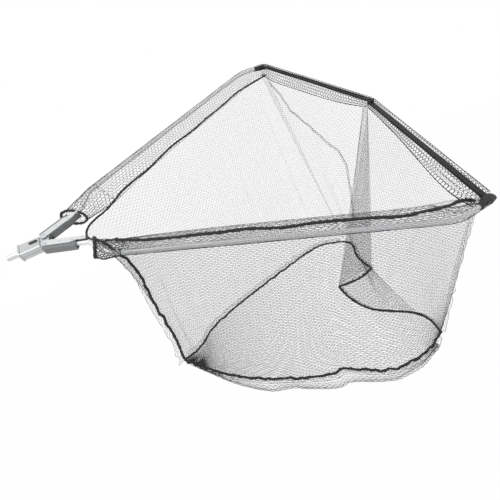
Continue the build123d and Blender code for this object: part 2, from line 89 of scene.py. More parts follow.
def inboard(angle):
    """A step of length one square to that direction, on its right."""
    return Vector((math.sin(math.radians(angle)), -math.cos(math.radians(angle)), 0))


def other_side(line):
    """The same place or line on the right of the hoop."""
    return np.asarray(line, float) * (1, -1, 1)


print("straight down in the hoop's axes", [round(c, 3) for c in straight_down])

# %% [markdown]
# The camera stands close to the near arm, a little under the hoop, and is rolled with the angler's
# grip. A wide lens gives the strong fall in size from the hub to the far corner. Angles would be
# hard to set by hand here, so it is placed by its three directions, which are made square to each
# other before they turn the camera.

# %% Camera
camera_data = bpy.data.cameras.new("camera")
camera_data.lens = 22.05
camera_data.shift_y = -0.019
camera = bpy.data.objects.new("camera", camera_data)
bpy.context.collection.objects.link(camera)
eye = Vector((0.2633, -0.7496, -0.0305))
looking = Vector((0.2489, 0.9448, -0.2129)).normalized()
upward = Vector((0.4443, 0.084, 0.8919))
rightward = looking.cross(upward).normalized()
turn = Matrix((rightward, rightward.cross(looking), -looking)).transposed()
camera.matrix_world = Matrix.Translation(eye) @ turn.to_4x4()
bpy.context.scene.camera = camera
print("camera at", [round(c, 3) for c in eye])

# %% [markdown]
# Every surface and the studio's light are small trees of nodes. They could be clicked together in
# the shader editor; here a few helpers make them, so that each tree reads as a list of what it
# mixes. A value that is fed to a node is either another node's socket or a plain number.

# %% Helpers for shader nodes
def feed(tree, value, socket):
    """Lead another socket into this one, or set it to a plain value."""
    if hasattr(value, "links"):
        tree.links.new(value, socket)
    else:
        socket.default_value = value


def fed(tree, node, **inputs):
    """The node with inputs fed by name, written with a low line for each space."""
    for label, value in inputs.items():
        feed(tree, value, node.inputs[label.replace("_", " ")])
    return node


def add_node(tree, kind, **inputs):
    return fed(tree, tree.nodes.new(f"ShaderNode{kind}"), **inputs)


def math_node(tree, operation, first, second, clamp=False):
    """The result of a maths node."""
    node = add_node(tree, "Math")
    node.operation = operation
    node.use_clamp = clamp
    feed(tree, first, node.inputs[0])
    feed(tree, second, node.inputs[1])
    return node.outputs[0]


def ray_is(tree, *kinds):
    """A mask that is one for light rays of these kinds."""
    path = add_node(tree, "LightPath")
    mask = path.outputs[kinds[0]]
    for kind in kinds[1:]:
        mask = math_node(tree, "MAXIMUM", mask, path.outputs[kind])
    return mask


def mix_into(tree, output, mask, first, second):
    """Mix two shader nodes by a mask and lead the mix to a new output node."""
    mix = add_node(tree, "MixShader")
    for socket, value in zip(mix.inputs, (mask, first.outputs[0], second.outputs[0])):
        tree.links.new(value, socket)
    tree.links.new(mix.outputs[0], add_node(tree, output).inputs[0])


# %% [markdown]
# The setting is a plain white studio: one pale floor under the bag, and a white surround that the
# camera sees. Lit by that same white, the metal and the twine would turn pale, so a second
# background, weaker and slightly cool, gives the light that falls on them.

# %% World and floor
scene = bpy.context.scene
scene.view_settings.view_transform = "Standard"
scene.world = bpy.data.worlds.new("studio")
scene.world.use_nodes = True
sky = scene.world.node_tree
sky.nodes.clear()
soft_light = add_node(sky, "Background", Color=(0.93, 0.96, 1.0, 1), Strength=0.62)
seen_white = add_node(sky, "Background", Color=(1, 1, 1, 1), Strength=1.0)
seen = ray_is(sky, "Is Camera Ray", "Is Glossy Ray", "Is Transmission Ray")
mix_into(sky, "OutputWorld", seen, soft_light, seen_white)
floor_half_width = 6
floor_middle = (0.45, 0.6, cad_low.z - 0.12)


def new_object(name, mesh):
    made = bpy.data.objects.new(name, mesh)
    bpy.context.collection.objects.link(made)
    return made


floor_mesh = bmesh.new()
bmesh.ops.create_grid(floor_mesh, x_segments=1, y_segments=1, size=floor_half_width)
bmesh.ops.translate(floor_mesh, verts=floor_mesh.verts, vec=floor_middle)
floor_data = bpy.data.meshes.new("studio_floor")
floor_mesh.to_mesh(floor_data)
floor_mesh.free()
studio_floor = new_object("studio_floor", floor_data)
print("floor at", round(floor_middle[2], 3), "m")

# %% [markdown]
# A studio floor is lit until it is nearly white. More lamps would wash out the thin twine, so the
# floor glows by itself where the camera sees it and keeps a very small share of real paint, which
# takes a trace of shadow. Two large soft lamps, one above and one behind, give the metal its bright
# and dark sides.

# %% The floor's finish and the lamps
floor_look = bpy.data.materials.new("studio_floor")
floor_look.use_nodes = True
floor_tree = floor_look.node_tree
floor_tree.nodes.clear()
paint = add_node(floor_tree, "BsdfDiffuse", Color=(0.9, 0.9, 0.9, 1))
glow = add_node(floor_tree, "Emission", Color=(1, 1, 1, 1))
glow_share = 0.985
seen = math_node(floor_tree, "MULTIPLY", ray_is(floor_tree, "Is Camera Ray", "Is Glossy Ray"), glow_share)
mix_into(floor_tree, "OutputMaterial", seen, paint, glow)
floor_data.materials.append(floor_look)


def soft_lamp(name, place, aim, size, power):
    data = bpy.data.lights.new(name, "AREA")
    data.size = size
    data.energy = power
    lamp = new_object(name, data)
    lamp.location = place
    lamp.rotation_euler = (Vector(aim) - Vector(place)).to_track_quat("-Z", "Y").to_euler()
    print(name, power, "W")


soft_lamp("key_lamp", (-0.6, -1.4, 2.2), (0.3, 0, 0), 1.6, 26)
soft_lamp("back_lamp", (1.6, 2.2, 1.6), (0.5, 0, 0), 1.6, 14)

# %% [markdown]
# The netting is knotless: two thin strands run together and part again, which leaves six-sided
# holes. A picture of a net with see-through holes would be lighter to draw, but it looks like
# gauze from close by, so every hole is real. The cells are drawn somewhat larger than life, about
# 7 by 15 mm in the near wall, so that single ones can be told apart from an arm's length away. The
# pitch is a cell's width before the net is pulled wide, and the stretch is how far it is pulled.

# %% The kinds of netting: pitch and twine in metres, and stretch
Net = namedtuple("Net", "pitch twine stretch")
near_net = Net(0.0076, 0.00071, 1.9)
far_net = Net(0.0086, 0.00058, 1.9)
near_front_net = Net(0.0078, 0.00058, 1.9)
pleat_net = Net(0.0062, 0.00050, 1.9)
crease_net = Net(0.0076, 0.00105, 1.9)
far_band_net = Net(0.0086, 0.00080, 1.3)
near_band_net = Net(0.0086, 0.00070, 1.7)
bar_band_net = Net(0.0084, 0.00128, 1.1)
far_cuff_net = Net(0.0086, 0.00098, 1.2)
near_cuff_net = Net(0.0086, 0.00160, 1.2)
print("a near cell is", round(near_net.pitch * near_net.stretch, 4), "m long")

# %% [markdown]
# A flat sheet of cells starts as one hexagon. An array modifier could repeat it, but the sheet has
# to be merged and cut before it is hung, so the hexagon is copied and shifted here, twice as many
# each time, until it fills the flat cut of a panel, and four planes then trim it to that cut.

# %% A flat sheet of hexagons, cut to a four-sided pattern
weld_share = 0.2
trimmed_weld_share = 0.12


def all_of(net):
    return net.verts[:] + net.edges[:] + net.faces[:]


def add_shifted(net, step):
    """Copy what is there and move the copy by a step."""
    more = bmesh.ops.duplicate(net, geom=all_of(net))
    moved = [part for part in more["geom"] if isinstance(part, bmesh.types.BMVert)]
    bmesh.ops.translate(net, verts=moved, vec=step)


def fill_along(net, step, reach, along):
    """Copy what is there beside itself, twice as much each time, until it reaches far enough."""
    width = step
    while width < reach:
        add_shifted(net, along * width)
        width *= 2
    beyond = [v for v in net.verts if v.co.dot(along) > reach + step]
    bmesh.ops.delete(net, geom=beyond, context="VERTS")


def flat_net(pattern, pitch):
    """Hexagons inside a pattern of four flat corners, given round from the top left."""
    side = pitch / math.sqrt(3)
    low = Vector((min(c.x for c in pattern), min(c.y for c in pattern), 0))
    high = Vector((max(c.x for c in pattern), max(c.y for c in pattern), 0))
    net = bmesh.new()
    bmesh.ops.create_circle(net, cap_ends=True, segments=6, radius=side)
    fill_along(net, pitch, high.x - low.x, Vector((1, 0, 0)))
    add_shifted(net, Vector((pitch / 2, 1.5 * side, 0)))
    fill_along(net, 3 * side, high.y - low.y, Vector((0, 1, 0)))
    bmesh.ops.remove_doubles(net, verts=net.verts, dist=side * weld_share)
    bmesh.ops.translate(net, verts=net.verts, vec=low)
    middle = sum(pattern, Vector()) / len(pattern)
    for here, there in zip(pattern, pattern[1:] + pattern[:1]):
        outward = (there - here).cross(Vector((0, 0, 1)))
        if outward.dot(middle - here) > 0:
            outward.negate()
        bmesh.ops.bisect_plane(net, geom=all_of(net), plane_co=here, plane_no=outward, clear_outer=True)
    bmesh.ops.remove_doubles(net, verts=net.verts, dist=side * trimmed_weld_share)
    return net


# %% [markdown]
# A panel is first a coarse grid of points in space, rows down and columns along. Its flat pattern
# follows from the grid's own edges and one diagonal, as a tailor lays a triangle out from three
# lengths, so the netting is neither stretched nor squeezed when it is laid on the grid.

# %% From a hanging panel to its flat pattern and back
def run_length(points):
    return float(np.linalg.norm(np.diff(points, axis=0), axis=1).sum())


def on_grid(grid, along, down):
    """Points on the panel, between its grid's points."""
    rows, columns = grid.shape[:2]
    x, y = along * (columns - 1), down * (rows - 1)
    i, j = np.minimum(x.astype(int), columns - 2), np.minimum(y.astype(int), rows - 2)
    fx, fy = (x - i)[:, None], (y - j)[:, None]
    upper = grid[j, i] * (1 - fx) + grid[j, i + 1] * fx
    lower = grid[j + 1, i] * (1 - fx) + grid[j + 1, i + 1] * fx
    return upper * (1 - fy) + lower * fy


def third_corner(a, b, from_a, from_b):
    """The corner at two given distances from a and b, to the right of the line from a to b."""
    line = b - a
    base = line.length
    along = (from_a**2 - from_b**2 + base**2) / (2 * base)
    up = math.sqrt(max(from_a**2 - along**2, 1e-8))
    return a + line * (along / base) + Vector((line.y, -line.x, 0)) * (up / base)


def pattern_of(grid):
    """Four flat corners, from the lengths of the grid's edges and of one diagonal."""
    steps = np.linspace(0, 1, 40)
    diagonal = run_length(on_grid(grid, steps, steps))
    start = Vector((0, 0, 0))
    far = Vector((run_length(grid[0]), 0, 0))
    foot_far = third_corner(start, far, diagonal, run_length(grid[:, -1]))
    foot_near = third_corner(start, foot_far, run_length(grid[:, 0]), run_length(grid[-1]))
    return [start, far, foot_far, foot_near]


def plain_cut(grid):
    """A rectangle as long and as deep as the grid is on average, for narrow and pointed pieces."""
    length = sum(run_length(row) for row in grid) / len(grid)
    depth = sum(run_length(grid[:, i]) for i in range(grid.shape[1])) / grid.shape[1]
    return [Vector((0, 0, 0)), Vector((length, 0, 0)), Vector((length, -depth, 0)), Vector((0, -depth, 0))]


# %% [markdown]
# To go back from the flat pattern to the grid, each flat point needs its two shares: how far along
# and how far down between the pattern's four sides it lies. Both follow from one equation of the
# second degree, the inverse of blending four corners.

# %% Where a flat point lies in the pattern
def cross_of(p, q):
    return p[..., 0] * q[..., 1] - p[..., 1] * q[..., 0]


def shares_in(pattern, points):
    """Where each flat point lies between the pattern's sides, along and down, from 0 to 1."""
    a, b, c, d = (np.array(corner.xy) for corner in pattern)
    e, f, g = b - a, d - a, a - b + c - d
    h = points - a
    k2, k1, k0 = cross_of(g, f), cross_of(e, f) + cross_of(h, g), cross_of(h, e)
    if abs(k2) < 1e-9:
        down = -k0 / k1
    else:
        root = np.sqrt(np.maximum(k1**2 - 4 * k0 * k2, 0))
        first, second = (-k1 + root) / (2 * k2), (-k1 - root) / (2 * k2)
        down = np.where(np.abs(first - 0.5) < np.abs(second - 0.5), first, second)
    row = e + np.outer(down, g)
    rest = h - np.outer(down, f)
    along = (rest * row).sum(axis=1) / (row * row).sum(axis=1)
    return np.clip(along, 0, 1), np.clip(down, 0, 1)


# %% [markdown]
# Each corner of the flat sheet then moves to its place on the hanging panel, and a Wireframe
# modifier turns every edge into a strand. Curves along the edges would give rounder twine, but
# many times the faces. A long panel is split into pieces that are small enough to handle.

# %% Netting on a panel
net_look = bpy.data.materials.new("black_netting")
cord_look = bpy.data.materials.new("black_cord")
pieces = {}
flat_cuts = {}


def thicken(piece, twine):
    """Turn every edge of a piece into a strand of twine."""
    strands = piece.modifiers.new("strands", "WIREFRAME")
    strands.thickness = twine
    strands.use_even_offset = False
    strands.use_boundary = True


def netting(name, grid, kind, parts=1, cut=pattern_of):
    """Cover a grid with netting, in pieces side by side along it, with the cells pulled wide."""
    flat_cuts[name] = cut(grid)
    pattern = [Vector((corner.x / kind.stretch, corner.y * kind.stretch, 0)) for corner in flat_cuts[name]]
    net = flat_net(pattern, kind.pitch)
    along, down = shares_in(pattern, np.array([v.co.xy for v in net.verts]))
    for v, place in zip(net.verts, on_grid(grid, along, down)):
        v.co = place
    net.verts.index_update()
    net.faces.ensure_lookup_table()
    share = {v.index: a for v, a in zip(net.verts, along)}
    belongs = {f: min(int(parts * sum(share[v.index] for v in f.verts) / len(f.verts)), parts - 1)
               for f in net.faces}
    pieces[name] = []
    for part in range(parts):
        piece_name = f"{name}_{part + 1}" if parts > 1 else name
        copy = net.copy()
        copy.faces.ensure_lookup_table()
        elsewhere = [copy.faces[f.index] for f in net.faces if belongs[f] != part]
        bmesh.ops.delete(copy, geom=elsewhere, context="FACES")
        copy.transform(to_frame)
        data = bpy.data.meshes.new(piece_name)
        copy.to_mesh(data)
        print(piece_name, len(copy.faces), "cells")
        copy.free()
        data.materials.append(net_look)
        piece = new_object(piece_name, data)
        thicken(piece, kind.twine)
        pieces[name].append(piece)
    net.free()


# %% [markdown]
# Hems and seams are soft lines. A NURBS curve with few control points gives each one the easy bends
# of real cord, and Blender turns it into points that the panels and the cords both start from.

# %% Smooth lines
curve_order = 3


def mesh_of(curve):
    """The mesh that Blender makes of a curve; the curve itself is cleared away."""
    holder = bpy.data.objects.new(curve.name, curve)
    mesh = bpy.data.meshes.new_from_object(holder)
    bpy.data.objects.remove(holder)
    bpy.data.curves.remove(curve)
    return mesh


def smooth_line(points, count):
    """Evenly spaced points on the smooth curve that the control points pull along."""
    data = bpy.data.curves.new("line", "CURVE")
    data.dimensions = "3D"
    data.resolution_u = 24
    spline = data.splines.new("NURBS")
    spline.points.add(len(points) - 1)
    for point, place in zip(spline.points, points):
        point.co = (*place, 1)
    spline.order_u = curve_order
    spline.use_endpoint_u = True
    mesh = mesh_of(data)
    line = np.array([v.co for v in mesh.vertices])
    bpy.data.meshes.remove(mesh)
    lengths = np.concatenate([[0], np.cumsum(np.linalg.norm(np.diff(line, axis=0), axis=1))])
    at = np.linspace(0, lengths[-1], count)
    return np.stack([np.interp(at, lengths, line[:, c]) for c in range(3)], axis=1)


# %% [markdown]
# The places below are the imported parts' own: the tube's shoulder, knee and end, the elbow that the
# front bar turns on, and the middle joint of the two bars. The hem hangs inboard of the tube and
# below it, at the edge of the netting that is folded over the arm. The netting stands wider beside
# the near arm than beside the far one.

# %% The hoop's lines
shoulder = Vector((0.166, 0.114, 0))
spread_angle, tip_angle = 27.9, -3.3
knee = Vector((0.7615, 0.4293, 0))
elbow = Vector((0.852, 0.424, 0))
middle_joint = Vector((0.953, 0, 0))
bar_angle = math.degrees(math.atan2(middle_joint.y - elbow.y, middle_joint.x - elbow.x))
bar_length = (middle_joint - elbow).length
kick_place = Vector((0.1322, 0.0549, 0))
sleeve_begin = shoulder + unit(spread_angle) * 0.0206
far_hem_in, near_hem_in, elbow_hem_in = 0.047, 0.064, 0.022
hem_drop, elbow_hem_drop = -0.022, -0.020


def beside_arm(place, angle, reach, drop=hem_drop):
    return place + inboard(angle) * reach + Vector((0, 0, drop))


def hem_points(reach):
    """Places along an arm's hem, left of the hoop, for a band of this width beside the tube."""
    return [beside_arm(sleeve_begin + unit(spread_angle) * 0.15, spread_angle, reach),
            beside_arm(knee - unit(spread_angle) * 0.14, spread_angle, reach),
            beside_arm(knee - unit(spread_angle) * 0.05, spread_angle, reach),
            beside_arm(knee + unit(tip_angle) * 0.03, tip_angle, reach - 0.001),
            beside_arm(knee + unit(tip_angle) * 0.07, tip_angle, reach - 0.017),
            beside_arm(elbow, tip_angle, elbow_hem_in, elbow_hem_drop)]


seam_top = Vector((0.150, -0.040, -0.026))
back_bend = [(0.128, -0.018, -0.026), (0.122, 0.004, -0.026), (0.137, 0.034, -0.026), (0.188, 0.055, -0.024)]
near_bend = (0.178, -0.054, -0.024)
left_hem = smooth_line([seam_top, *back_bend, *hem_points(far_hem_in)], 170)
right_hem = smooth_line([seam_top, near_bend, *other_side(hem_points(near_hem_in))], 150)


def hem_by_bar(*profile):
    """A front hem on the left: places along the bar, inboard of it and below, in metres."""
    return smooth_line([elbow + unit(bar_angle) * reach + inboard(bar_angle) * over + Vector((0, 0, -drop))
                        for reach, over, drop in profile], 80)


bar_end = bar_length - 0.004
front_hem = hem_by_bar((0.004, 0.016, 0.020), (0.06, 0.014, 0.032), (0.14, 0.013, 0.031),
                       (0.25, 0.012, 0.030), (0.36, 0.010, 0.027), (bar_end, 0.006, 0.015))
near_front_hem = other_side(hem_by_bar(
    (0.004, 0.018, 0.020), (0.03, 0.028, 0.024), (0.10, 0.026, 0.028), (0.20, 0.017, 0.024),
    (0.31, 0.009, 0.018), (bar_end, 0.006, 0.015)))
print("hems", [round(run_length(line), 3) for line in (left_hem, right_hem, front_hem, near_front_hem)], "m")

# %% [markdown]
# The seam round the bag's floor lies in one plane, alongside the hoop's own and 0.3 m from it. The
# front has more netting than the floor has edge, and the rest is folded into a pleat that points
# back into the bag. Each stretch of the seam is a smooth line, pulled along by a few places. The
# seam at the back comes down from the mouth in the loose bends of an edge drawn up on its cord.

# %% The bag's foot and its back seam
bag_floor = -0.300
floor_back, pleat_root = (0.182, -0.254), (0.745, -0.302)
pleat_tip, near_corner = (0.630, -0.300), (0.748, -0.530)


def at_foot(place):
    """A place on the floor of the bag, given as x and y."""
    return (*place, bag_floor)


def foot_line(count, *places):
    return smooth_line([at_foot(place) for place in places], count)


far_foot = foot_line(90, floor_back, (0.228, -0.250), (0.252, -0.232), (0.286, -0.212), (0.409, -0.187),
                     (0.560, -0.166), (0.660, -0.153), (0.712, -0.167), (0.750, -0.190))
front_far_foot = foot_line(30, (0.750, -0.190), (0.766, -0.210), (0.732, -0.252), pleat_root)
pleat_far_foot = foot_line(20, pleat_root, (0.700, -0.320), pleat_tip)
front_near_foot = foot_line(50, pleat_tip, (0.626, -0.330), (0.645, -0.392), (0.693, -0.430), (0.740, -0.463),
                            (0.756, -0.500), near_corner)
near_foot = foot_line(120, floor_back, (0.208, -0.290), (0.284, -0.370), (0.398, -0.440), (0.478, -0.477),
                      (0.489, -0.467), (0.534, -0.502), (0.581, -0.533), (0.632, -0.544), (0.700, -0.547),
                      near_corner)
back_seam = smooth_line([
    seam_top + Vector((0, 0, -0.004)), (0.180, -0.078, -0.064), (0.188, -0.116, -0.115),
    (0.182, -0.150, -0.155), (0.187, -0.195, -0.212), (0.188, -0.225, -0.250), (0.182, -0.242, -0.280),
    at_foot(floor_back)], 60)
print("foot", round(run_length(far_foot) + run_length(near_foot), 3), "m")

# %% [markdown]
# A hanging panel is ruled from its hem to its foot and then loosened: it sags a little under its own
# weight, most in the middle, and falls in soft upright folds that fade out at both edges, where the
# cords hold it. A cloth simulation could do this, but not the same way each time for netting with
# open holes, so smooth noise makes the folds. A crease is a line that the netting gathers towards.

# %% Hanging panels
fold_slant, waves_down = 0.35, 1.3
fine_share, fine_along, fine_down = 0.35, 3.1, 2.6
seam_hold, end_hold = 0.7, 8
crease_width, crease_rise, crease_stray = 0.016, 0.006, 0.004


def wave_at(*place):
    """Smooth noise, about -1 to 1, at three numbers; the seed among them picks the pattern."""
    return noise.noise(Vector(place))


def resampled(line, count):
    return on_grid(np.stack([line, line]), np.linspace(0, 1, count), np.zeros(count))


def crease_at(u, v, crease, width, seed):
    """How far a crease moves a panel's point along the panel and out of it."""
    (u0, v0), (u1, v1), gather = crease
    if not v0 <= v <= v1:
        return 0.0, 0.0
    middle = u0 + (u1 - u0) * (v - v0) / (v1 - v0) + crease_stray * wave_at(v * 9, seed, 0)
    away = (u - middle) * width
    near = math.exp(-(away / crease_width) ** 2) * math.sin(math.pi * (v - v0) / (v1 - v0)) ** 0.5
    return -away * gather * near, crease_rise * gather * near


def hung(top, foot, rows, columns, sag, fold_depth, fold_width, seed, lean=(0, 0, 0), creases=()):
    """A grid from a top line to a foot line, sagging along lean and straight down, with soft folds."""
    top, foot = resampled(np.asarray(top, float), columns), resampled(np.asarray(foot, float), columns)
    down = np.linspace(0, 1, rows)[:, None, None]
    grid = top[None] * (1 - down) + foot[None] * down
    belly = (4 * down * (1 - down)) * np.ones((1, columns, 1))
    grid += belly * (np.array(straight_down) * sag + np.array(lean))
    run = np.gradient(grid, axis=1)
    out = np.cross(run, np.gradient(grid, axis=0))
    out /= np.maximum(np.linalg.norm(out, axis=2, keepdims=True), 1e-9)
    width = np.linalg.norm(run, axis=2).mean() * columns
    for j in range(rows):
        held = math.sin(math.pi * j / (rows - 1)) ** seam_hold
        for i in range(columns):
            u, v = i / (columns - 1), j / (rows - 1)
            ends = min(1, end_hold * u, end_hold * (1 - u))
            wave = wave_at(u / fold_width + fold_slant * v, v * waves_down, seed)
            fine = wave_at(u / fold_width * fine_along, v * fine_down, seed + 7)
            grid[j, i] += out[j, i] * fold_depth * held * ends * (wave + fine_share * fine)
            for crease in creases:
                along, rise = crease_at(u, v, crease, width, seed)
                grid[j, i] += run[j, i] / np.linalg.norm(run[j, i]) * along
                grid[j, i] += out[j, i] * rise
    return grid


def drawn_to(seam, grid, reach=0.3):
    """The grid with its first column on a seam; the move fades out along the panel."""
    move = resampled(seam, len(grid)) - grid[:, 0]
    fade = np.clip(1 - np.linspace(0, 1, grid.shape[1]) / reach, 0, 1) ** 2
    return grid + move[:, None] * fade[None, :, None]


# %% [markdown]
# The bag is sewn from a long far wall, a near wall, two front panels, a pleat and a floor. One
# round tube of netting would be simpler, but the seams are what one sees of the bag's shape, so
# each panel is hung between its own two seams. The creases are where the netting was folded up.

# %% The walls, the front and the floor
far_wall = hung(left_hem, far_foot, 60, 220, sag=0.014, fold_depth=0.016, fold_width=0.14, seed=3.0,
                creases=(((0.93, 0.05), (0.86, 0.97), 0.8), ((0.26, 0.2), (0.13, 0.98), 0.7),
                         ((0.66, 0.1), (0.62, 0.8), 0.5)))
netting("netting_wall_left", drawn_to(back_seam, far_wall), far_net, 3)
near_wall = hung(right_hem, near_foot, 50, 200, sag=0.008, fold_depth=0.010, fold_width=0.12, seed=11.0,
                 creases=(((0.08, 0.2), (0.05, 0.95), 0.7), ((0.80, 0.1), (0.72, 0.7), 0.5)))
netting("netting_wall_right", drawn_to(back_seam, near_wall), near_net, 2)
far_front = hung(front_hem, front_far_foot, 50, 80, sag=0.010, fold_depth=0.010, fold_width=0.3, seed=21.0,
                 creases=(((0.3, 0.1), (0.75, 0.95), 0.6),))
netting("netting_front_left", far_front, far_net)
netting("netting_front_right", hung(
    near_front_hem[::-1], front_near_foot, 50, 90, sag=0.006, fold_depth=0.010, fold_width=0.3, seed=31.0,
    creases=(((0.72, 0.15), (0.6, 0.6), 0.7),)), near_front_net)
pleat_side = np.linspace(front_hem[-1], at_foot(pleat_root), 40)
pleat_edge = np.linspace(front_hem[-1] - (0.012, 0, 0), at_foot(pleat_tip), 40)
for side, seed, lean in (("left", 41.0, (0.002, -0.004, 0)), ("right", 45.0, (-0.004, 0.006, 0))):
    netting(f"netting_pleat_{side}", hung(pleat_side, pleat_edge, 16, 40, sag=0.0, fold_depth=0.006,
                                          fold_width=0.5, seed=seed, lean=lean), pleat_net)
whole_far_foot = np.concatenate([far_foot, front_far_foot[1:]])
netting("netting_floor", hung(
    resampled(whole_far_foot, 100), near_foot, 30, 100, sag=0.014, fold_depth=0.010, fold_width=0.2,
    seed=51.0), near_net, 2, cut=plain_cut)

# %% [markdown]
# A sleeve is one strip of netting folded over the arm. A plain tube of netting would lie tight, but
# the real section is a teardrop: from the hem it runs up under the tube, round it and back down to
# the same hem, so the band beside the arm is two layers thick. The section follows the tube's
# middle line, and loose waves keep the layers apart.

# %% Sleeves over the arms and the front bars
section_part = 9
sleeve_wave, layers_apart = 0.0035, 0.5
waves_along, waves_round = 0.11, 3
hem_hold = 14
far_girth, near_girth, bar_girth = 0.0072, 0.0066, 0.0086
hub_flare, flare_columns = 0.003, 12


def teardrop(hem, radius):
    """Points of the section, x inboard and y up: from the hem under the tube, round it and back."""
    slope, open_angle = math.atan2(hem[1], hem[0]), math.acos(radius / math.hypot(*hem))
    under, over = slope - open_angle, slope + open_angle - 2 * math.pi
    ring = radius * np.array([(math.cos(a), math.sin(a)) for a in np.linspace(under, over, section_part)])
    layer = np.linspace(0, 1, section_part)[:, None]
    going = np.array(hem) * (1 - layer) + ring[0] * layer
    coming = ring[-1] * (1 - layer) + np.array(hem) * layer
    return np.concatenate([going[:-1], ring, coming[1:]])


def sleeve(middle_line, hem_line, radius, seed, flare=0.0):
    """A grid whose columns follow the tube and whose rows go round the section."""
    columns = len(middle_line)
    run = np.gradient(middle_line, axis=0)
    run /= np.linalg.norm(run, axis=1, keepdims=True)
    grid = np.zeros((3 * section_part - 2, columns, 3))
    for i in range(columns):
        offset = hem_line[i] - middle_line[i]
        inward = np.cross(run[i], out_of_mouth)
        if np.dot(offset, inward) < 0:
            inward = -inward
        hem = (float(offset @ inward), float(offset[2]))
        normal = out_of_mouth * hem[0] - inward * hem[1]
        normal /= np.linalg.norm(normal)
        girth = radius + flare * max(0.0, 1 - (columns - 1 - i) / flare_columns)
        for j, (x, y) in enumerate(teardrop(hem, girth)):
            down = j / (len(grid) - 1)
            off_tube = min(1.0, max(0.0, math.hypot(x, y) / girth - 1.0) / 2.0)
            free = off_tube * min(1, hem_hold * down, hem_hold * (1 - down))
            layer = 1 if down > 0.5 else -1
            lift = wave_at(i * waves_along, down * waves_round, seed + 5 * layer) + layers_apart * layer
            place = middle_line[i] + inward * x + out_of_mouth * y
            grid[j, i] = place + normal * (sleeve_wave * free * lift)
    return grid


def beside(line, hem):
    """For each point of a line, the nearest point of its hem, never going back."""
    nearest = [int(np.argmin(np.linalg.norm(hem - point, axis=1))) for point in line]
    return hem[np.maximum.accumulate(nearest)]


def band_of(line, hem, radius, seed, flare=0.0):
    return sleeve(line, beside(line, hem), radius, seed, flare)


tube_line = smooth_line([sleeve_begin, knee - unit(spread_angle) * 0.0475, knee,
                         knee + unit(tip_angle) * 0.0475, elbow - unit(tip_angle) * 0.009], 110)
near_tube_line = other_side(tube_line)
left_band = band_of(tube_line, left_hem, far_girth, 61.0, hub_flare)
right_band = band_of(near_tube_line, right_hem, near_girth, 71.0, hub_flare)
netting("netting_sleeve_left", left_band, far_band_net)
netting("netting_sleeve_right", right_band, near_band_net)
bar_lift = Vector((0, 0, 0.0034))
bar_line = smooth_line([elbow + unit(bar_angle) * 0.012 + bar_lift,
                        middle_joint - unit(bar_angle) * 0.004 + bar_lift], 60)
near_bar_line = other_side(bar_line)
netting("netting_bar_sleeve_left", band_of(bar_line, front_hem, bar_girth, 81.0), bar_band_net)
netting("netting_bar_sleeve_right", band_of(near_bar_line, near_front_hem, bar_girth, 91.0), bar_band_net)

# %% [markdown]
# The hub end of each sleeve is left open so that the arm can be slid in. It flares into a loose
# mouth with a corded rim. The far one hangs wide open, the near one is drawn closer to the tube.
# Each cuff is blended from the sleeve's first section to an oval, so that it joins without a step.

# %% Open cuffs
cuff_ripple = 0.004
ripple_way = np.array((0.3, 0.2, 1.0))


def mouth_ring(middle, across, up, start=-0.5):
    """Points of an oval from two half-widths; it starts near the inboard side and goes round below."""
    turns = start - 2 * math.pi * np.linspace(0, 1, len(left_band))
    return np.array([Vector(middle) + Vector(across) * math.cos(a) + Vector(up) * math.sin(a) for a in turns])


def cuff(band, ring, run, seed):
    """A grid from the first section of a sleeve out to its open mouth, along a run of the tube."""
    grid = np.zeros((len(ring), len(run), 3))
    for i, along in enumerate(run):
        t = i / (len(run) - 1)
        ease = t * t * (3 - 2 * t)
        for j in range(len(ring)):
            place = along + (band[j, 0] - run[0]) * (1 - ease) + (ring[j] - run[-1]) * ease
            ripple = wave_at(j * 0.55, t * 2.5, seed) * cuff_ripple * math.sin(math.pi * t) ** 0.5
            grid[j, i] = place + ripple_way * ripple
    return grid


far_mouth = mouth_ring((0.1160, 0.0485, -0.0035), (0.0245, -0.0205, -0.0040), (0.0074, 0.0082, 0.0091))
near_mouth = mouth_ring((0.1384, -0.0728, -0.0045), (0.0080, 0.0133, 0.0130), (0.0025, -0.0103, 0.0091))
to_kick = (kick_place - shoulder).normalized()
bracket_way = unit(25)
round_shoulder = [sleeve_begin, shoulder + unit(spread_angle) * 0.009, shoulder + to_kick * 0.009]
far_run = smooth_line([*round_shoulder, kick_place - to_kick * 0.006, kick_place - bracket_way * 0.006,
                       kick_place - bracket_way * 0.0165], 26)
near_run = other_side(smooth_line([*round_shoulder, shoulder + to_kick * 0.0506], 22))
netting("netting_cuff_left", cuff(left_band, far_mouth, far_run, 101.0), far_cuff_net)
netting("netting_cuff_right", cuff(right_band, near_mouth, near_run, 111.0), near_cuff_net)

# %% [markdown]
# The near wall is a little longer than it needs to be, so it hangs below the seam in a slack fold
# and comes back up to it. The fold is its own strip here, because its netting runs double. The
# depths are how far it hangs down, from the back of the seam to the front.

# %% The slack fold below the near seam
slack_depths = (0.002, 0.010, 0.022, 0.030, 0.020, 0.030, 0.034, 0.026, 0.020, 0.014, 0.004)
slack_rows = 13
slack_stand, slack_swing, inner_share, slack_ripple = 0.004, 0.010, 0.2, 0.004


def slack_fold(line, depths, seed):
    """A strip that leaves the line, hangs below it by the given depths and comes back up."""
    columns = len(line)
    depth = np.interp(np.linspace(0, 1, columns), np.linspace(0, 1, len(depths)), depths)
    outward = np.array((0, -math.cos(head_roll), math.sin(head_roll)))
    grid = np.zeros((slack_rows, columns, 3))
    for i in range(columns):
        for j in range(slack_rows):
            v = j / (slack_rows - 1)
            sink = math.sin(math.pi * v) ** 0.8
            swing = slack_stand + slack_swing * math.sin(math.pi * v) * (1 if v < 0.5 else inner_share)
            ripple = wave_at(i * 0.16, v * 2, seed) * slack_ripple * sink
            grid[j, i] = line[i] + np.array(straight_down) * depth[i] * sink + outward * (swing + ripple)
    return grid


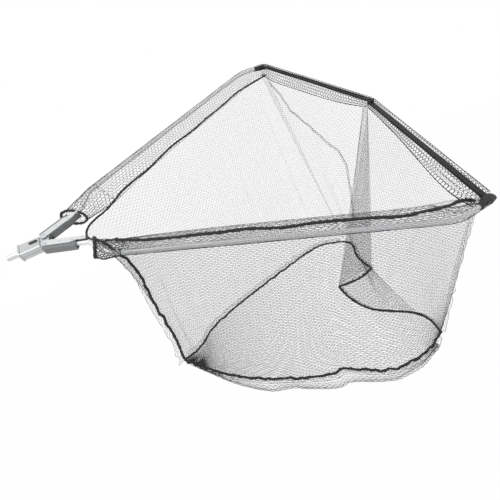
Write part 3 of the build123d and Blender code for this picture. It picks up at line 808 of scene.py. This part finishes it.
netting("netting_slack", slack_fold(near_foot[4:-6], slack_depths, 121.0), near_net, cut=plain_cut)

# %% [markdown]
# Hems and seams are drawn up on a cord of three twisted strands. A plain bevelled curve would look
# like wire, so there are three curves that wind round the smooth line, thickened by their bevel and
# turned into one mesh. The cord is not quite even, because the netting is whipped onto it by hand.

# %% Twisted cords
cord_lay = 0.011
points_a_turn = 7
strand_share, throw_share = 0.56, 0.5
strand_swell = 0.5
stray_way = np.array((0.7, 0.7, 0))


def twisted_cord(name, line, radius, lay=cord_lay):
    """A three-strand cord along a line, as one mesh; the lay is the length of one twist."""
    length = run_length(line)
    count = max(12, int(length / lay * points_a_turn))
    line = resampled(np.asarray(line, float), count)
    run = np.gradient(line, axis=0)
    run /= np.linalg.norm(run, axis=1, keepdims=True)
    side = np.cross(run, (0.1, 0.2, 1.0))
    side /= np.linalg.norm(side, axis=1, keepdims=True)
    rise = np.cross(run, side)
    data = bpy.data.curves.new(name, "CURVE")
    data.dimensions = "3D"
    data.bevel_depth = radius * strand_share
    data.bevel_resolution = 1
    data.use_fill_caps = True
    for number in range(3):
        spline = data.splines.new("POLY")
        spline.points.add(count - 1)
        for k, point in enumerate(spline.points):
            turned = 2 * math.pi * (k / points_a_turn + number / 3)
            swell = 1 + strand_swell * wave_at(k * 0.21, number, length * 50)
            off = (side[k] * math.cos(turned) + rise[k] * math.sin(turned)) * radius * throw_share * swell
            point.co = (*(line[k] + off), 1)
            point.radius = swell
    mesh = mesh_of(data)
    mesh.name = name
    mesh.transform(to_frame)
    mesh.materials.clear()
    mesh.materials.append(cord_look)
    print(name, round(length, 3), "m")
    return new_object(name, mesh)


def wavering(line, reach, seed, rate=0.12):
    """A line that strays a little to both sides, except at its ends."""
    last = len(line) - 1
    return np.array([place + stray_way * reach * min(1, 0.2 * k, 0.2 * (last - k))
                     * wave_at(k * rate, 1.0, seed) for k, place in enumerate(line)])


def drawn_in(hem, tube, share, seed):
    """A cord's line on the band beside a tube: a little way in from the hem's edge, and uneven."""
    along = np.arange(len(hem))
    part = np.array([share * (1 + 0.8 * wave_at(k * 0.05, 0, seed)) for k in along])
    fade = np.clip(np.minimum(along, len(hem) - 1 - along) / 12, 0, 1)
    return hem + (beside(hem, tube) - hem) * (part * fade)[:, None]


# %% [markdown]
# The cords run where the net is sewn: in the hems beside the tubes and bars, across the back of the
# mouth, round the cuffs' rims, and down and round the bag's seams. Each is given as its line and its
# radius, and the two thin ones on the bars also as a shorter lay.

# %% The cords of the net
front_foot = np.concatenate([front_far_foot, pleat_far_foot[1:], front_near_foot[1:]])
cords = {
    "cord_hem_left": (drawn_in(left_hem[26:], tube_line, 0.10, 161.0), 0.0028),
    "cord_hem_right": (drawn_in(right_hem[6:], near_tube_line, 0.36, 171.0), 0.0036),
    "cord_hem_back": (np.concatenate([right_hem[7::-1], left_hem[1:28]]), 0.0024),
    "cord_back_seam": (wavering(back_seam, 0.005, 201.0, 0.33), 0.0034),
    "cord_near_foot": (wavering(near_foot, 0.005, 211.0, 0.31), 0.0030),
    "cord_far_foot": (wavering(far_foot, 0.005, 221.0, 0.33), 0.0028),
    "cord_front_foot": (front_foot, 0.0032),
    "cord_mouth_left": (far_mouth, 0.0030),
    "cord_mouth_right": (near_mouth, 0.0034),
    "cord_front_hem_left": (front_hem, 0.0010, 0.008),
    "cord_front_hem_right": (near_front_hem, 0.0010, 0.008)}
cord_pieces = {name: twisted_cord(name, *run) for name, run in cords.items()}

# %% [markdown]
# Beyond a seam a raw edge of netting is left over. It stands some ten millimetres proud of the back
# seam and of the foot, ragged and curled, which gives the bag its slightly furry outline. Hairs
# from a particle system would stand too straight, so it is a narrow strip of the same netting. Two
# more such strips are a crease pressed into the far front panel and the near front corner, where
# netting is gathered into a dark line.

# %% Raw edges and gathered strips
raggedness, edge_curl = 0.8, 0.004
curl_way = np.array((0.4, 0, 0.9))


def raw_edge(name, line, outward, width, seed, kind=near_net):
    """A narrow ragged strip of netting along a seam."""
    grid = np.zeros((4, len(line), 3))
    outward = np.array(Vector(outward).normalized())
    for i, place in enumerate(line):
        reach = width * (1 + raggedness * wave_at(i * 0.45, 0, seed))
        for j in range(4):
            curl = wave_at(i * 0.3, j * 0.6, seed + 3) * edge_curl * j / 3
            grid[j, i] = place + outward * reach * j / 3 + curl_way * curl
    netting(name, grid, kind, cut=plain_cut)


crease_across = (0.06, 0.14, 0.18, 0.27, 0.44, 0.54, 0.68, 0.73, 0.73, 0.72, 0.70)
crease_down = (0.03, 0.10, 0.18, 0.22, 0.265, 0.305, 0.33, 0.40, 0.50, 0.62, 0.74)
knots, along_crease = np.linspace(0, 1, len(crease_down)), np.linspace(0, 1, 60)
front_crease = on_grid(far_front, np.interp(along_crease, knots, crease_across),
                       np.interp(along_crease, knots, crease_down))
near_corner_seam = smooth_line([right_hem[-1], (0.818, -0.440, -0.120), (0.776, -0.486, -0.215),
                                at_foot(near_corner)], 60)
raw_edge("netting_edge_back", back_seam, (-1, -0.25, -0.15), 0.0135, 131.0)
raw_edge("netting_edge_near", near_foot[2:-2], (0.1, -1, 0.1), 0.0110, 141.0)
raw_edge("netting_edge_far", far_foot[2:-2], (-0.1, 1, 0.5), 0.0110, 151.0)
raw_edge("netting_edge_front", front_foot[2:-2], (0.3, -0.5, 0.8), 0.0115, 155.0)
raw_edge("netting_crease_front", wavering(front_crease, 0.004, 181.0, 0.2), (0.5, -0.3, 0.8), 0.0060, 183.0,
         crease_net)
raw_edge("netting_corner_right", wavering(near_corner_seam, 0.004, 191.0), (0.9, -0.5, -0.1), 0.0130, 193.0)

# %% [markdown]
# Every finish is mixed from a few shared effects, each kept in a node group with named inputs: a
# grain that runs one way, soft blotches of wear, and a mask of worn edges. They could be copied
# into each material, but then a better grain would have to be made a dozen times. The groups only
# hand out masks and values; the shader itself and its plain numbers stay in each material.

# %% Shared effects as node groups
FLOAT, VECTOR = "NodeSocketFloat", "NodeSocketVector"
blotch_sharpness = 6.0


def new_group(name, output, *inputs):
    """An empty node group that gives one value; inputs are (label, socket kind, default)."""
    group = bpy.data.node_groups.new(name, "ShaderNodeTree")
    group.interface.new_socket("Place", in_out="INPUT", socket_type=VECTOR)
    for label, kind, value in inputs:
        group.interface.new_socket(label, in_out="INPUT", socket_type=kind).default_value = value
    group.interface.new_socket(output, in_out="OUTPUT", socket_type=FLOAT)
    return group, group.nodes.new("NodeGroupInput").outputs, group.nodes.new("NodeGroupOutput").inputs[output]


def vector_node(tree, operation, first, second):
    node = add_node(tree, "VectorMath")
    node.operation = operation
    feed(tree, first, node.inputs[0])
    feed(tree, second, node.inputs[1])
    return node


grain_group, given, result = new_group(
    "grain", "Value", ("Stretch", VECTOR, (1, 1, 1)), ("Scale", FLOAT, 900.0))
stretched = vector_node(grain_group, "MULTIPLY", given["Place"], given["Stretch"]).outputs[0]
grain = add_node(grain_group, "TexNoise", Vector=stretched, Scale=given["Scale"], Detail=3)
feed(grain_group, grain.outputs["Fac"], result)

blotch_group, given, result = new_group("blotches", "Mask", ("Scale", FLOAT, 60.0), ("Cover", FLOAT, 0.5))
blotches = add_node(blotch_group, "TexNoise", Vector=given["Place"], Scale=given["Scale"], Detail=6,
                    Roughness=0.62)
over = math_node(blotch_group, "ADD", blotches.outputs["Fac"], given["Cover"])
over = math_node(blotch_group, "SUBTRACT", over, 1.0)
feed(blotch_group, math_node(blotch_group, "MULTIPLY", over, blotch_sharpness, clamp=True), result)
print("groups", [group.name for group in bpy.data.node_groups])

# %% [markdown]
# On a handled part the paint or plating goes first along its edges. A painted mask would need an
# unwrapped surface, so the mask is found by the shader: a Bevel node gives the direction that a
# rounded edge would have, and where that differs from the flat direction there is an edge.

# %% Worn edges
bevel_samples = 4
chip_scale, edge_strength = 420, 14.0
edge_group, given, result = new_group(
    "worn_edges", "Mask", ("Width", FLOAT, 0.0006), ("Amount", FLOAT, 1.0))
rounded = add_node(edge_group, "Bevel", Radius=given["Width"])
rounded.samples = bevel_samples
flat_way = add_node(edge_group, "NewGeometry").outputs["Normal"]
likeness = vector_node(edge_group, "DOT_PRODUCT", rounded.outputs[0], flat_way).outputs["Value"]
chips = add_node(edge_group, "TexNoise", Vector=given["Place"], Scale=chip_scale).outputs["Fac"]
bend = math_node(edge_group, "SUBTRACT", 1.0, likeness, clamp=True)
rough_edge = math_node(edge_group, "MULTIPLY", math_node(edge_group, "MULTIPLY", bend, chips), edge_strength)
feed(edge_group, math_node(edge_group, "MULTIPLY", rough_edge, given["Amount"], clamp=True), result)
print("edge width", edge_group.interface.items_tree["Width"].default_value, "m")

# %% [markdown]
# The finishes of the hard parts. Each has a colour, a second colour that shows in blotches and a
# third on worn edges. The grain follows how the part was made: round the turned stud, along the
# drawn tubes and the rolled strap, and in no direction on castings, mouldings and paint. Images of
# such surfaces would need unwrapping, and a grain that is worked out follows any shape.

# %% Finishes for the hard parts
def grouped(tree, group, **inputs):
    """The value of a group that is fed with the object's coordinates."""
    node = add_node(tree, "Group")
    node.node_tree = group
    place = add_node(tree, "TexCoord").outputs["Object"]
    return fed(tree, node, Place=place, **inputs).outputs[0]


def mixed(tree, mask, first, second):
    """A colour between two, by a mask; each colour is a socket or three numbers."""
    node = add_node(tree, "Mix")
    node.data_type = "RGBA"
    feed(tree, mask, node.inputs["Factor"])
    for number, colour in ((6, first), (7, second)):
        feed(tree, colour if hasattr(colour, "links") else (*colour, 1), node.inputs[number])
    return node.outputs[2]


def new_look(look, colour, relief, depth, **finish):
    """Give a material its colour, a fine relief and the rest of its finish."""
    tree = look.node_tree
    bump = add_node(tree, "Bump", Height=relief, Distance=depth).outputs[0]
    fed(tree, tree.nodes["Principled BSDF"], Base_Color=colour, Normal=bump, **finish)


blotch_scale, blotch_cover = 75.0, 0.42
grain_in_roughness, edge_in_roughness = 0.22, -0.12


def hard_look(name, colours, metallic, roughness, stretch=(1, 1, 1), grain=900.0, depth=0.00004, wear=0.5):
    """A Principled finish with grain, blotches and worn edges; colours are body, blotch and edge."""
    look = bpy.data.materials.new(name)
    look.use_nodes = True
    tree = look.node_tree
    lines = grouped(tree, grain_group, Stretch=stretch, Scale=grain)
    patches = grouped(tree, blotch_group, Scale=blotch_scale, Cover=blotch_cover)
    edges = grouped(tree, edge_group, Amount=wear)
    colour = mixed(tree, edges, mixed(tree, patches, colours[0], colours[1]), colours[2])
    uneven = math_node(tree, "MULTIPLY", math_node(tree, "SUBTRACT", lines, 0.5), grain_in_roughness)
    rubbed = math_node(tree, "MULTIPLY", edges, edge_in_roughness)
    rough = math_node(tree, "ADD", math_node(tree, "ADD", uneven, roughness), rubbed, clamp=True)
    new_look(look, colour, lines, depth, Roughness=rough, Metallic=metallic)
    return look


looks = {
    "stud": hard_look("turned_alloy", ((0.66, 0.665, 0.67), (0.54, 0.545, 0.55), (0.85, 0.85, 0.85)),
                      1.0, 0.26, (8, 0.4, 0.4), 700, 0.00005, 0.4),
    "collar": hard_look("satin_casting", ((0.58, 0.585, 0.59), (0.48, 0.485, 0.49), (0.80, 0.80, 0.80)),
                        0.9, 0.36, grain=1400, depth=0.00003, wear=0.6),
    "button": hard_look("black_button", ((0.035, 0.035, 0.037), (0.05, 0.05, 0.05), (0.14, 0.14, 0.14)),
                        0.0, 0.5, grain=2600, depth=0.00002, wear=0.3),
    "rivet": hard_look("zinc_rivet", ((0.62, 0.63, 0.65), (0.48, 0.48, 0.47), (0.85, 0.85, 0.85)),
                       1.0, 0.30, grain=1500),
    "bracket": hard_look("grey_coated_sheet", ((0.235, 0.24, 0.245), (0.20, 0.205, 0.21), (0.62, 0.62, 0.62)),
                         0.25, 0.42, grain=2200, depth=0.00003),
    "strap": hard_look("rolled_strap", ((0.76, 0.765, 0.77), (0.64, 0.645, 0.65), (0.90, 0.90, 0.90)),
                       1.0, 0.24, (0.35, 3, 3), 900, 0.00003, 0.3),
    "tube": hard_look("drawn_tube", ((0.90, 0.905, 0.91), (0.83, 0.835, 0.84), (0.96, 0.96, 0.96)),
                      0.35, 0.36, (0.25, 2, 2), 1100, 0.00002, 0.2),
    "elbow": hard_look("black_nylon", ((0.018, 0.018, 0.019), (0.028, 0.028, 0.029), (0.10, 0.10, 0.10)),
                       0.0, 0.46, grain=3000, depth=0.00003, wear=0.35),
    "bar": hard_look("black_coating", ((0.016, 0.016, 0.017), (0.030, 0.030, 0.031), (0.30, 0.30, 0.30)),
                     0.1, 0.40, grain=2400, depth=0.00003, wear=0.25),
    "black_rivet": hard_look("blackened_steel", ((0.05, 0.05, 0.052), (0.09, 0.09, 0.09), (0.42, 0.42, 0.42)),
                             0.8, 0.36, grain=1800)}
print("finishes", [look.name for look in looks.values()])

# %% [markdown]
# Netting twine and cord are both black nylon that has seen some sun. They are almost matt, with a
# soft sheen where fibres stand up, and the twist of the yarn runs across them as a fine grain. Fur
# would be far too heavy on so much twine, so the sheen of the Principled shader stands for it.

# %% Finishes for twine and cord
def yarn_look(look, body, faded, twist, depth, sheen):
    look.use_nodes = True
    tree = look.node_tree
    fade = grouped(tree, blotch_group, Scale=14.0, Cover=0.5)
    fibres = grouped(tree, grain_group, Stretch=(1.0, 1.4, 0.7), Scale=twist)
    colour = mixed(tree, math_node(tree, "MULTIPLY", fibres, 0.5), mixed(tree, fade, body, faded), faded)
    new_look(look, colour, fibres, depth, Roughness=0.62, Sheen_Weight=sheen, Sheen_Roughness=0.5)
    print(look.name, "twist", twist)


yarn_look(net_look, (0.014, 0.014, 0.015), (0.030, 0.030, 0.032), 2600, 0.00005, 0.12)
yarn_look(cord_look, (0.010, 0.010, 0.011), (0.024, 0.024, 0.026), 1700, 0.00012, 0.2)

# %% [markdown]
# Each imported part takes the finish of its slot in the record. The start of its name says which slot
# that is, and the longest start that fits counts. What is left over is soft and is made here.

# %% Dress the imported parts
slot_of_start = {
    "handle_stud": "stud", "collar": "collar", "lock_button": "button", "fork_plate": "collar",
    "pivot_pin": "rivet", "arm_bracket": "bracket", "inner_channel": "bracket", "arm_strap": "strap",
    "strap_rivets": "rivet", "arm_tube": "tube", "elbow_pin": "black_rivet", "apex_rivet": "black_rivet",
    "elbow": "elbow", "front_bar": "bar"}
soft_nodes = []
for node_name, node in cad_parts.items():
    starts = [start for start in slot_of_start if node_name.startswith(start)]
    if not starts:
        soft_nodes.append(node_name)
        continue
    slot_name = slot_of_start[max(starts, key=len)]
    node.data.materials.clear()
    node.data.materials.append(looks[slot_name])
print("soft parts to replace", sorted(soft_nodes))

# %% [markdown]
# When the head folds, the arms close up and the bars swing forward. The sleeves and their hems go
# with the arm or bar that they are on. The bag can't fold stiffly, and bones would need weights for
# every cell, so the pieces that stay on the hub get meshes of their own. So do the cuffs and the bars'
# bands, for which a table gives the sideways direction, the place and the share by which they would
# narrow less, towards their own tubes; nothing here narrows them yet.

# %% What moves with what
folded_bag, folded_cuff, folded_bar_band = 0.14, 0.45, 0.4
sides = ("left", "right")
moves_with = {"netting_sleeve": "arm", "netting_cuff": "arm", "netting_bar_sleeve": "front_bar",
              "cord_hem": "arm", "cord_front_hem": "front_bar", "cord_mouth": "arm"}
rides = {f"{start}_{side}": f"{side}_{part}" for start, part in moves_with.items() for side in sides}


narrows = {}
for start in ("netting_cuff", "cord_mouth"):
    narrows[f"{start}_left"] = (inboard(33), kick_place, folded_cuff)
    narrows[f"{start}_right"] = (other_side(inboard(45)), other_side(kick_place), folded_cuff)
for start in ("netting_bar_sleeve", "cord_front_hem"):
    narrows[f"{start}_left"] = (inboard(bar_angle), elbow, folded_bar_band)
    narrows[f"{start}_right"] = (other_side(inboard(bar_angle)), other_side(elbow), folded_bar_band)
every_soft = [piece for group in pieces.values() for piece in group] + list(cord_pieces.values())
for piece in every_soft:
    body = rides.get(piece.name, "hub")
    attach(piece, body)
    if body == "hub":
        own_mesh(piece)
    elif piece.name in narrows:
        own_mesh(piece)
print(len(every_soft), "soft pieces ride")

# %% [markdown]
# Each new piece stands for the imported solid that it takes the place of. The plain solid is hidden
# and stays behind it, for collision. Deleting it would leave the frame with a part missing.

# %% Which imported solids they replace
paired = {
    "netting_wall_{}_1": "net_wall_{}", "netting_front_{}": "front_net_{}",
    "netting_sleeve_{}": "arm_sleeve_{}", "netting_cuff_{}": "sleeve_cuff_{}",
    "netting_bar_sleeve_{}": "front_sleeve_{}", "cord_hem_{}": "hem_cord_{}",
    "cord_front_hem_{}": "front_hem_cord_{}"}
stands_for = {new.format(side): packed.format(side) for new, packed in paired.items() for side in sides}
stands_for |= {"netting_floor_1": "bottom_panel", "cord_hem_back": "back_hem_cord",
               "cord_back_seam": "back_seam_cord", "cord_near_foot": "bottom_seam_cord"}
for piece_name, node_name in stands_for.items():
    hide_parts(node_name)
print("not replaced", sorted(set(soft_nodes) - set(stands_for.values())))

# %% [markdown]
# Every piece of netting is declared as a sheet with the flat size it is cut to. A net is mostly
# holes, so the area given is that of the twine's own face, but never less than three tenths of the
# cut. The hems and seams are sewn to the nets all along, so they go with the net whose edge they
# are. The narrowest strips are declared as just over a centimetre deep.

# %% The nets as sheets
hold_of = {"netting_sleeve": "stretched", "netting_bar_sleeve": "stretched", "netting_cuff": "gathered",
           "netting_pleat": "folded", "netting_slack": "folded", "netting_floor": "laid",
           "netting_edge": "gathered", "netting_corner": "gathered", "netting_crease": "gathered"}


for name, group in pieces.items():
    start = next((key for key in hold_of if name.startswith(key)), None)
    side = "left" if "left" in name else "right"
